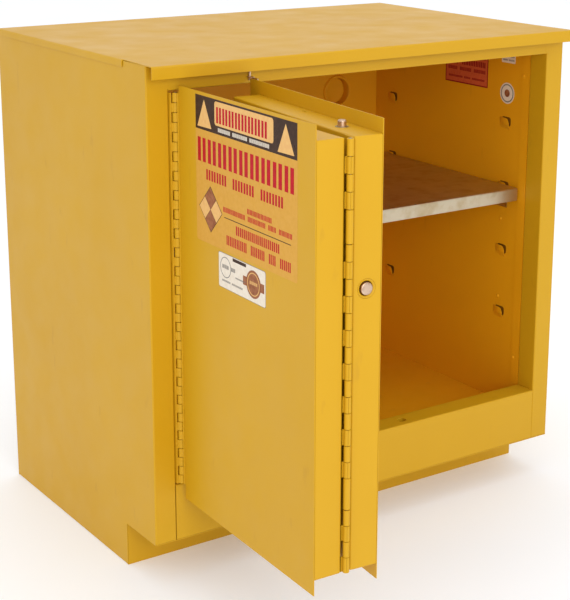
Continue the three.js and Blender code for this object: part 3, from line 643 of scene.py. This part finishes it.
def make_vents():
    """Each vent's collar, tube, inner disc and outer cover, and the screens of both."""
    for place in ("upper", "lower"):
        low, high = extent(f"vent_tube_{place}")
        radius = (high.x - low.x) / 2
        centre = middle(f"vent_tube_{place}")
        bore = radius - TUBE_WALL

        def turned(name, profile, y, material, slot, replaces, centre=centre):
            bm = bmesh.new()
            lathe(bm, profile, (centre.x, y, centre.z), "y", VENT_SIDES)
            piece = show(name, bm, material, "cabinet", slot, replaces=replaces)
            return rounded(piece, 0.0006, 3, 30)

        tube = [(bore, 0), (radius, 0), (radius, high.y - low.y), (bore, high.y - low.y)]
        collar = [(bore, -0.0032), (bore + 0.0012, -0.0042), (radius + 0.0028, -0.0042),
                  (radius + 0.0045, -0.0004), (radius + 0.0045, 0.0), (bore, 0.0)]
        turned(f"vent_collar_{place}", collar, low.y, YELLOW_INSIDE, "yellow_paint_inside", ())
        turned(f"vent_pipe_{place}", tube, low.y, YELLOW_INSIDE, "yellow_paint_inside",
               (f"vent_tube_{place}",))
        plug_low, plug_high = extent(f"vent_plug_{place}")
        rim = (plug_high.x - plug_low.x) / 2
        plug = [(0, 0.0012), (rim - 0.014, 0.001), (rim - 0.006, 0.0004), (rim - 0.004, 0.0), (rim, 0.0),
                (rim, 0.003), (0, 0.003)]
        turned(f"vent_disc_{place}", plug, plug_low.y, YELLOW_INSIDE, "yellow_paint_inside",
               (f"vent_plug_{place}",))
        cap_low, cap_high = extent(f"vent_cap_{place}")
        edge = (cap_high.x - cap_low.x) / 2
        depth = cap_high.y - cap_low.y
        neck, brim = radius - 0.0045, 0.0094
        cap = [(0, 0), (neck, 0), (neck, brim), (edge, brim), (edge, depth - 0.003),
               (edge - 0.004, depth - 0.0005), (edge - 0.012, depth), (edge - 0.014, depth - 0.0015),
               (0, depth - 0.0015)]
        turned(f"vent_cover_{place}", cap, cap_low.y, YELLOW, "yellow_paint", (f"vent_cap_{place}",))
    dress(MESH, "vent_screen_upper", "vent_screen_lower")


def make_grounding_screw():
    """A brass screw with a six-sided head, and its washer."""
    low, high = extent("grounding_screw")
    centre = (low + high) / 2
    head = (high.x - low.x) / 2
    shank, hole = 0.004, 0.0046
    under_head, head_edge, crown = 0.0144, 0.0178, 0.0185
    profile = [(0, 0), (shank, 0), (shank, under_head), (head * 0.86, under_head),
               (head * 0.86, head_edge), (head * 0.7, crown), (0, crown)]
    bm = bmesh.new()
    lathe(bm, profile, (centre.x, low.y, centre.z), "y", 6)
    rounded(show("grounding_bolt", bm, BRASS, "cabinet", "brass", replaces=("grounding_screw",)), 0.0004)
    low, high = extent("grounding_washer")
    outer = (high.x - low.x) / 2
    thick = high.y - low.y
    bm = bmesh.new()
    lathe(bm, [(hole, 0), (outer, 0), (outer, thick), (hole, thick)], (centre.x, low.y, centre.z), "y")
    rounded(show("grounding_ring", bm, BRASS, "cabinet", "brass", replaces=("grounding_washer",)), 0.0003)


# ---- hinges ----
PIN_RADIUS, BORE = 0.0025, 0.0029
SEAM = 1.5  # half the angle of the seam in a rolled barrel, in degrees
HINGE_SHEET = 0.002
FOLD_PLATE = 0.0017


def rolled_rim(radius, start, end, seam_at):
    """A barrel's rim and bore in one line, joined at the seam where the sheet meets itself."""
    return [*arc((0, 0), radius, start, seam_at - SEAM, 14),
            *arc((0, 0), BORE, seam_at - SEAM, seam_at + SEAM - 360, 24),
            *arc((0, 0), radius, seam_at + SEAM, end, 14)]


def knuckle(bm, axis, radius, strap, z0, z1):
    """One knuckle: a barrel, and the strap that joins it to its plate. strap gives the outline."""
    place = lambda u, v, height: (axis.x + u, axis.y + v, height)
    prism(bm, strap(radius), z0 + KNUCKLE_GAP, z1 - KNUCKLE_GAP, place)


def level_strap(towards, reach):
    """A strap from the middle of the barrel, towards +x or -x."""
    def outline(radius):
        half = HINGE_SHEET / 2
        lean = math.degrees(math.asin(half / radius))
        ring = rolled_rim(radius, lean, 360 - lean, 180)
        points = [(reach, half), *ring, (reach, -half)]
        return [(towards * u, v) for u, v in points]
    return outline


def rolled_strap(towards, drop):
    """A strap that rises from its plate and rolls into the barrel."""
    def outline(radius):
        inner = radius - HINGE_SHEET
        start = math.degrees(math.acos(inner / radius))
        ring = rolled_rim(radius, 0, 360 - start, 200)
        points = [(radius, -drop), *ring, (inner, -drop)]
        return [(towards * u, v) for u, v in points]
    return outline


def plate(bm, x_range, y_range, z_range):
    prism(bm, rectangle(*x_range, *y_range), *z_range, lambda u, v, height: (u, v, height))


def make_jamb_hinge():
    """A continuous hinge: knuckles owned in turn by the frame and by the first leaf."""
    count = 42
    frame_low, frame_high = extent("jamb_hinge_frame_side")
    leaf_high = extent("jamb_hinge_leaf_side", LEAF_A)[1]
    pin_low, pin_high = extent("jamb_hinge_pin")
    radius = frame_high.x - JAMB_AXIS.x
    pitch = (pin_high.z - pin_low.z) / count
    frame_x = (frame_low.x, frame_low.x + HINGE_SHEET)
    leaf_x = (leaf_high.x - HINGE_SHEET, leaf_high.x)
    plate_y = (JAMB_AXIS.y - HINGE_SHEET / 2, frame_high.y)
    straps = (level_strap(-1, JAMB_AXIS.x - frame_x[1]), level_strap(1, leaf_x[0] - JAMB_AXIS.x))
    owners = (
        ("jamb_hinge_frame_knuckles", 0, frame_x, "cabinet", CABINET, "jamb_hinge_frame_side"),
        ("jamb_hinge_leaf_knuckles", 1, leaf_x, "leaf_a", LEAF_A, "jamb_hinge_leaf_side"),
    )
    for name, parity, x_range, body, opened, node in owners:
        bm = bmesh.new()
        plate(bm, x_range, plate_y, (frame_low.z, frame_high.z))
        for i in range(parity, count, 2):
            z0 = pin_low.z + i * pitch
            knuckle(bm, JAMB_AXIS, radius, straps[parity], z0, z0 + pitch)
        piece = show(name, bm, YELLOW, body, "yellow_paint", opened, (node,))
        rounded(piece, 0.0005, 2, 50)
    pin("jamb_hinge_rod", "jamb_hinge_pin", JAMB_AXIS, pin_low.z, pin_high.z, "cabinet", CABINET)


def pin(name, node, axis, z0, z1, body, opened):
    """A hinge's pin, as a plain rod through its knuckles."""
    length = z1 - z0
    bm = bmesh.new()
    lathe(bm, [(0, 0), (PIN_RADIUS, 0), (PIN_RADIUS, length), (0, length)], (axis.x, axis.y, z0), "z", 24)
    rounded(show(name, bm, ZINC, body, "zinc_steel", opened, (node,)), 0.0005)


def make_fold_hinge():
    """The hinge between the leaves: 26 lengths, of which two pairs are taken by spring barrels."""
    count = 26
    spring_starts = (4, 20)
    a_low, a_high = extent("fold_hinge_side_a", LEAF_A)
    b_low, b_high = extent("fold_hinge_side_b", LEAF_B)
    pin_low, pin_high = extent("fold_hinge_pin", LEAF_A)
    inset, clear, crown = 0.0002, 0.0006, 0.0012
    barrel_radius = a_high.y - FOLD_AXIS.y - inset
    radius = barrel_radius - inset
    pitch = (pin_high.z - pin_low.z) / count
    free = [i for i in range(count) if not any(s <= i < s + 2 for s in spring_starts)]
    drop = FOLD_AXIS.y - (a_low.y + FOLD_PLATE)
    owners = (
        ("fold_hinge_knuckles_a", free[0::2], (a_low.x, FOLD_AXIS.x - radius + HINGE_SHEET), a_low, -1,
         "leaf_a", LEAF_A, "fold_hinge_side_a"),
        ("fold_hinge_knuckles_b", free[1::2], (FOLD_AXIS.x + radius - HINGE_SHEET, b_high.x), b_low, 1,
         "leaf_b", LEAF_B, "fold_hinge_side_b"),
    )
    for name, lengths, x_range, low, towards, body, opened, node in owners:
        bm = bmesh.new()
        inner_x = FOLD_AXIS.x + towards * (barrel_radius + clear)
        x_range = (x_range[0], inner_x) if towards < 0 else (inner_x, x_range[1])
        plate(bm, x_range, (low.y, low.y + FOLD_PLATE), (a_low.z, a_high.z))
        for i in lengths:
            z0 = pin_low.z + i * pitch
            knuckle(bm, FOLD_AXIS, radius, rolled_strap(towards, drop + FOLD_PLATE), z0, z0 + pitch)
            foot = sorted((FOLD_AXIS.x + towards * (radius - HINGE_SHEET), inner_x))
            plate(bm, foot, (low.y, low.y + FOLD_PLATE), (z0 + KNUCKLE_GAP, z0 + pitch - KNUCKLE_GAP))
        rounded(show(name, bm, YELLOW, body, "yellow_paint", opened, (node,)), 0.0005, 2, 50)
    for place, start in zip(("lower", "upper"), spring_starts):
        bm = bmesh.new()
        z0 = pin_low.z + start * pitch + KNUCKLE_GAP
        length = 2 * pitch - 2 * KNUCKLE_GAP
        lathe(bm, [(BORE, 0), (barrel_radius - crown, 0), (barrel_radius, crown),
                   (barrel_radius, length - crown), (barrel_radius - crown, length), (BORE, length)],
              (FOLD_AXIS.x, FOLD_AXIS.y, z0), "z")
        barrel = show(f"spring_barrel_{place}", bm, YELLOW, "leaf_a", "yellow_paint", LEAF_A,
                      (f"closing_spring_barrel_{place}",))
        rounded(barrel, 0.0004)
    pin("fold_hinge_rod", "fold_hinge_pin", FOLD_AXIS, pin_low.z, pin_high.z, "leaf_a", LEAF_A)


# ---- door leaves ----
def make_leaf(letter, body, opened, skin_hole, pan_holes):
    """A flat skin, and the box-shaped pan behind it that carries the hinges and the latch."""
    low, high = extent(f"leaf_{letter}_skin", opened)
    wide, tall = (low.x, high.x), (low.z, high.z)
    faces = side((0, -1, 0), lambda u, v: (u, low.y, v), wide, tall, skin_hole)
    folded(f"leaf_{letter}_face", faces, YELLOW, body, "yellow_paint", opened, (f"leaf_{letter}_skin",))
    low, high = extent(f"leaf_{letter}_pan", opened)
    wide, tall, deep = (low.x, high.x), (low.z, high.z), (low.y, high.y)
    faces = side((0, 1, 0), lambda u, v: (u, high.y, v), wide, tall)
    faces += side((0, 0, 1), lambda u, v: (u, v, high.z), wide, deep, pan_holes.get("top", ()))
    faces += side((0, 0, -1), lambda u, v: (u, v, low.z), wide, deep, pan_holes.get("bottom", ()))
    faces += side((-1, 0, 0), lambda u, v: (low.x, v, u), tall, deep, pan_holes.get("start", ()))
    faces += side((1, 0, 0), lambda u, v: (high.x, v, u), tall, deep)
    folded(f"leaf_{letter}_box", faces, YELLOW, body, "yellow_paint", opened, (f"leaf_{letter}_pan",))


def make_leaves():
    """Both leaves. The second has holes for the bolts, the button and the handle, and a drain slot."""
    make_leaf("a", "leaf_a", LEAF_A, (), {})
    clear = 0.0003
    bolt = middle("bolt_upper", LEAF_B)
    low, high = extent("bolt_sleeve_upper", LEAF_B)
    bolt_hole = round_hole(bolt.x, bolt.y, (high.x - low.x) / 2 + clear)
    low, high = extent("button_sleeve", LEAF_B)
    button = (low + high) / 2
    button_hole = round_hole(button.z, button.y, (high.z - low.z) / 2 + clear)
    slot_length, slot_height = 0.014, 0.003
    drain_slot = slot_hole(bolt.x + 0.135, bolt.y - 0.013, slot_length, slot_height)
    low, high = extent("handle_dish", LEAF_B)
    dish = (low + high) / 2
    rim = 0.012
    dish_hole = square_hole(dish.x, dish.z, high.x - low.x - rim, high.z - low.z - rim)
    make_leaf("b", "leaf_b", LEAF_B, [dish_hole],
              {"top": [bolt_hole, drain_slot], "bottom": [bolt_hole], "start": [button_hole]})


# ---- latch ----
def make_round(name, node, body, axis, profile, material, slot, rounding=0.0005):
    """A turned piece that replaces a CAD node of the second leaf. profile takes the node's radius and
    length, and its heights start at the node's low end."""
    low, high = extent(node, LEAF_B)
    along = "xyz".index(axis)
    across = (high.z - low.z) / 2 if axis != "z" else (high.x - low.x) / 2
    base = (low + high) / 2
    base[along] = low[along]
    bm = bmesh.new()
    lathe(bm, profile(across, high[along] - low[along]), base, axis)
    return rounded(show(name, bm, material, body, slot, LEAF_B, (node,)), rounding, 2, 30)


def make_latch_bolts():
    """A bolt on a thin rod at each end of the leaf, and the bushes that guide them."""
    rod, rod_end, shoulder, chamfer = 0.004, 0.092, 0.085, 0.0016
    point, bush_wall = 0.0014, 0.002

    def upper_bolt(r, length):
        return [(0, 0), (rod, 0), (rod, length - rod_end), (r, length - shoulder),
                (r, length - chamfer), (r - point, length), (0, length)]

    def lower_bolt(r, length):
        return [(radius, length - height) for radius, height in upper_bolt(r, length)][::-1]

    def bush(r, length):
        return [(r - bush_wall, 0), (r, 0), (r, length), (r - bush_wall, length)]

    make_round("latch_bolt_upper", "bolt_upper", "bolt_upper", "z", upper_bolt, WORN_STEEL, "chrome")
    make_round("latch_bolt_lower", "bolt_lower", "bolt_lower", "z", lower_bolt, WORN_STEEL, "chrome")
    for place in ("upper", "lower"):
        make_round(f"bolt_bush_{place}", f"bolt_sleeve_{place}", "leaf_b", "z", bush, ZINC, "zinc_steel",
                   0.0004)


def make_button():
    """The round button in the end of the second leaf, and the bush round it."""
    def bush(r, length):
        inner = r - 0.0034
        return [(r - 0.0024, 0.0009), (r - 0.0012, 0.0002), (r, 0), (r, length), (inner, length),
                (inner, 0.0016)]

    def button(r, length):
        head = 0.014
        return [(0, 0), (r * 0.78, 0), (r * 0.92, 0.0007), (r * 0.96, 0.002), (r * 0.96, head),
                (r / 2, head), (r / 2, length), (0, length)]

    make_round("button_bush", "button_sleeve", "leaf_b", "x", bush, YELLOW, "yellow_paint", 0.0003)
    make_round("release_button", "trigger_button", "trigger_button", "x", button, WORN_STEEL, "chrome",
               0.0003)


def make_lock_and_handle():
    """The key lock, and the looks of the paddle handle, the latch case and the guide."""
    def plug(r, length):
        return [(0, 0.0008), (r * 0.62, 0.0008), (r * 0.7, 0), (r, 0.0004), (r, length), (0, length)]

    make_round("lock_plug", "lock_cylinder", "lock_cylinder", "y", plug, CHROME, "chrome", 0.0003)
    dress(ZINC, "latch_case", rounding=0.0004)
    dress(ZINC, "paddle_pin", rounding=0.0003)
    dress(WORN_STEEL, "guide_bracket", "guide_pin", rounding=0.0003)
    dress(CHROME, "handle_dish", rounding=0.0005)
    dress(CHROME, "paddle_handle", rounding=0.0006)


def make_keyway():
    """The slot in the lock's face, as a dark inlay of painted shade."""
    face = extent("lock_cylinder", LEAF_B)[0].y
    lock = middle("lock_cylinder", LEAF_B)
    half_width, half_height, corner = 0.0007, 0.004, 0.0004
    outline = rounded_rectangle(lock.x - half_width, lock.x + half_width,
                                lock.z - half_height, lock.z + half_height, corner)
    bm = bmesh.new()
    prism(bm, outline, face + 0.0002, face + 0.001, lambda u, v, height: (u, height, v))
    # painted shade: a black inlay where the keyway's hollow would be in shade
    show("lock_keyway", bm, BLACK, "lock_cylinder", "chrome", LEAF_B)


# ---- labels: plain bars and shapes on thin film, laid out in millimetres ----
MM = 0.001
STROKES = ((0.06, 0.36), (0.54, 0.84))  # two upright bars in each place, as shares of its width


class Label:
    """Flat shapes laid in layers on a face. place maps (u, v, height) to a point."""

    def __init__(self, place):
        self.bm = bmesh.new()
        self.place = place
        self.materials = []

    def add(self, material, outline, layer):
        if material not in self.materials:
            self.materials.append(material)
        before = len(self.bm.faces)
        prism(self.bm, outline, FILM * 0.4, FILM * (layer + 1), self.place)
        self.bm.faces.ensure_lookup_table()
        for face in self.bm.faces[before:]:
            face.material_index = self.materials.index(material)

    def bars(self, material, u0, u1, v0, v1, groups, layer):
        """A line of upright bars in groups, as many in each as groups says."""
        slots = sum(groups) + len(groups) - 1
        pitch = (u1 - u0) / slots
        at = u0
        for count in groups:
            for _ in range(count):
                for start, end in STROKES:
                    self.add(material, rectangle(at + pitch * start, at + pitch * end, v0, v1), layer)
                at += pitch
            at += pitch

    def show(self, name, body, opened=CABINET):
        return show(name, self.bm, self.materials, body, "label_film", opened)


def ring_outlines(u, v, outer, inner, sides=28):
    """A flat ring as quarter pieces, so that each is a plain outline."""
    quarters = []
    for start in range(0, 360, 90):
        out = arc((u, v), outer, start, start + 90, sides // 4)
        back = arc((u, v), inner, start + 90, start, sides // 4)
        quarters.append([*out, *back])
    return quarters


def disc(u, v, radius, sides=28):
    return arc((u, v), radius, 0, 360, sides)[:-1]


def make_door_labels():
    """The big label and the sticker on the first leaf's face, from its top left corner."""
    low, high = extent("leaf_a_skin", LEAF_A)
    left, top = low.x, high.z
    place = lambda u, v, height: (left + MM * u, low.y - height, top - MM * v)

    start, stretch = 18.4, 0.964
    film = Label(lambda u, v, height: place(start + stretch * u, v, height))
    film.add(CLEAR_FILM, rounded_rectangle(38.5, 346.5, 4.5, 234, 4), 0)
    film.add(BLACK, rectangle(39, 345.5, 5, 57.5), 1)
    for u in (67.5, 314):
        triangle = [(u - 22.5, 53.5), (u + 23.5, 52.5), (u, 10.5)]
        film.add(CREAM, triangle, 2)
    film.add(CREAM, rounded_rectangle(101.5, 279.5, 8, 44.5, 5), 2)
    film.bars(RED, 106, 264, 16, 40.5, [8], 3)
    film.bars(WHITE, 112, 268, 47.5, 53.5, [6, 7, 9], 2)
    film.show("door_label_band", "leaf_a", LEAF_A)

    text = Label(place)
    lines = ((60, 348, 70, 107.5, [9]), (87, 316, 117, 133.5, [4, 4, 4]),
             (212, 283, 154, 162, [9]), (140, 339, 165.5, 173.5, [9, 7, 3, 5]),
             (178, 305, 188, 202, [11]), (149, 336, 208, 223, [6, 4, 2, 3]))
    for u0, u1, v0, v1, groups in lines:
        text.bars(RED, u0, u1, v0, v1, groups, 1)
    text.add(BLACK, rectangle(143, 335, 181.2, 182.4), 1)
    text.show("door_label_bars", "leaf_a", LEAF_A)

    diamond = Label(place)
    u, v, half = 100.5, 178.5, 35.5
    edge = half + 1
    diamond.add(BLACK, [(u, v + edge), (u + edge, v), (u, v - edge), (u - edge, v)], 1)
    quarter = half / 2 - 0.4
    quarters = ((BROWN, 0, -1), (CREAM, -1, 0), (CREAM, 1, 0), (BROWN, 0, 1))
    for material, du, dv in quarters:
        cu, cv = u + du * half / 2, v + dv * half / 2
        diamond.add(material, [(cu, cv + quarter), (cu + quarter, cv), (cu, cv - quarter),
                               (cu - quarter, cv)], 2)
    diamond.show("door_label_diamond", "leaf_a", LEAF_A)

    sticker = Label(place)
    sticker.add(GREY, rounded_rectangle(124, 265, 238, 294, 4), 0)
    sticker.add(WHITE, rounded_rectangle(124.8, 264.2, 238.8, 293.2, 3.5), 1)
    sticker.add(BLACK, rectangle(168, 208, 240, 245), 2)
    for outline in ring_outlines(146, 260, 16.5, 15.2):
        sticker.add(GREY, outline, 2)
    sticker.bars(GREY, 136, 176, 256, 262, [3, 2], 3)
    sticker.bars(GREY, 135, 198, 280, 283, [7, 9], 2)
    sticker.bars(GREY, 176, 206, 268, 270.5, [8], 2)
    sticker.add(BROWN, rectangle(199, 261, 259, 273), 2)
    sticker.add(BROWN, disc(230, 266, 21.5), 3)
    for outline in ring_outlines(230, 266, 18, 16.5):
        sticker.add(CREAM, outline, 4)
    sticker.bars(CREAM, 219, 242, 262, 267, [4], 4)
    sticker.show("door_sticker", "leaf_a", LEAF_A)


def make_inside_labels():
    """A bordered label and two stickers on the right inner wall, from the door frame's front."""
    low, high = extent("liner_right")
    wall_x = high.x - SHEET
    front = extent("stile_right")[0].y
    place = lambda u, v, height: (wall_x - height, front + MM * u, MM * v)

    notice = Label(place)
    notice.add(DARK_RED, rectangle(166, 296, 758, 832), 0)
    notice.add(PINK, rectangle(168.5, 293.5, 760.5, 829.5), 1)
    lines = ((812, 11, [4, 6]), (796, 11, [7, 3]), (784, 7, [5, 5, 4]))
    for v, height, groups in lines:
        notice.bars(DARK_RED, 174, 288, v, v + height, groups, 2)
    notice.bars(DARK_RED, 176, 286, 769, 773, [8, 4, 9], 2)
    notice.show("inside_notice", "cabinet")

    seal = Label(place)
    u, v = 108.5, 756
    seal.add(WHITE, disc(u, v, 20.5, 40), 0)
    for outline in ring_outlines(u, v, 18, 15.5, 40):
        seal.add(GREY, outline, 1)
    seal.add(WHITE, disc(u, v, 13.5), 1)
    seal.add(BROWN, disc(u, v, 7.5), 2)
    seal.show("inside_round_sticker", "cabinet")

    small = Label(place)
    small.add(WHITE, rounded_rectangle(88, 127, 815, 835, 2), 0)
    small.bars(GREY, 91, 124, 819, 822, [6, 5], 1)
    small.bars(GREY, 91, 124, 826, 829, [4, 7], 1)
    small.show("inside_small_sticker", "cabinet")


# ---- stage ----
def make_camera():
    heading, pitch, roll = (math.radians(a) for a in (CAMERA_HEADING, CAMERA_PITCH, CAMERA_ROLL))
    ahead = Vector((math.sin(heading) * math.cos(pitch), math.cos(heading) * math.cos(pitch),
                    -math.sin(pitch)))
    right = Vector((math.cos(heading), -math.sin(heading), 0))
    up = right.cross(ahead)
    turned_right = right * math.cos(roll) + up * math.sin(roll)
    turned_up = up * math.cos(roll) - right * math.sin(roll)
    camera = add_object("camera", bpy.data.cameras.new("camera"))
    axes = Matrix((turned_right, turned_up, -ahead)).transposed().to_4x4()
    camera.matrix_world = Matrix.Translation(CAMERA_PLACE) @ axes
    camera.data.sensor_width = SENSOR
    camera.data.lens = CAMERA_LENS
    camera.data.shift_x, camera.data.shift_y = CAMERA_SHIFT
    camera.data.clip_end = CLIP_END
    bpy.context.scene.camera = camera


def make_floor():
    """A wide white floor that glows a little, so that it blends into the backdrop."""
    reach, glow = 14.0, 0.16
    bm = bmesh.new()
    polygon(bm, [(x, y, 0.0) for x, y in rectangle(-reach, reach, -reach, reach)])
    mesh = bpy.data.meshes.new("floor")
    bm.to_mesh(mesh)
    bm.free()
    shader = Shader("floor_matt", 0.7, specular=0.2)
    shader.surface.inputs["Emission Color"].default_value = (1.0, 1.0, 1.0, 1.0)
    shader.surface.inputs["Emission Strength"].default_value = glow
    tone = shader.ranged(shader.noise(2, 2), (0.3, 0.7), (0, 1))
    mesh.materials.append(shader.wire(colour=shader.mixed(tone, (0.84, 0.86, 0.89), (0.82, 0.84, 0.87))))
    floor = add_object("floor", mesh)


def make_light(name, place, aim, size, power):
    light = bpy.data.lights.new(name, "AREA")
    light.shape = "RECTANGLE"
    light.size, light.size_y = size
    light.energy = power
    lamp = add_object(name, light)
    lamp.visible_camera = False
    lamp.location = place
    lamp.rotation_mode = "QUATERNION"
    lamp.rotation_quaternion = (Vector(aim) - Vector(place)).to_track_quat("-Z", "Y")


def make_lighting():
    world = bpy.data.worlds.new("studio")
    world.use_nodes = True
    backdrop = world.node_tree.nodes["Background"]
    backdrop.inputs["Color"].default_value = (1.0, 1.0, 1.0, 1.0)
    backdrop.inputs["Strength"].default_value = 1.0
    bpy.context.scene.world = world
    make_light("front_softbox", (-1.1, -2.6, 1.4), (0.1, 0, 0.45), (1.4, 1.2), 25)
    make_light("top_softbox", (0.2, -0.2, 3.4), (0, 0, 0.45), (2.6, 2.6), 12)
    bpy.context.scene.view_settings.view_transform = "Standard"


make_camera()
make_top_cover()
make_body_side("left")
make_body_side("right")
make_header()
make_sill()
make_strike_cup()
make_liner_wall("left")
make_liner_wall("right")
make_shelf()
make_vents()
make_grounding_screw()
make_jamb_hinge()
make_fold_hinge()
make_leaves()
make_latch_bolts()
make_button()
make_lock_and_handle()
make_keyway()
make_door_labels()
make_inside_labels()
dress(YELLOW, "back_panel", "bottom_pan", "toe_kick", rounding=0.0004)
dress(YELLOW_INSIDE, "liner_back", "liner_ceiling", "sump_pan", rounding=0.0004)
for hand in ("left", "right"):
    dress(GALVANIZED, f"shelf_clip_front_{hand}", f"shelf_clip_back_{hand}", rounding=0.0004)
make_floor()
make_lighting()
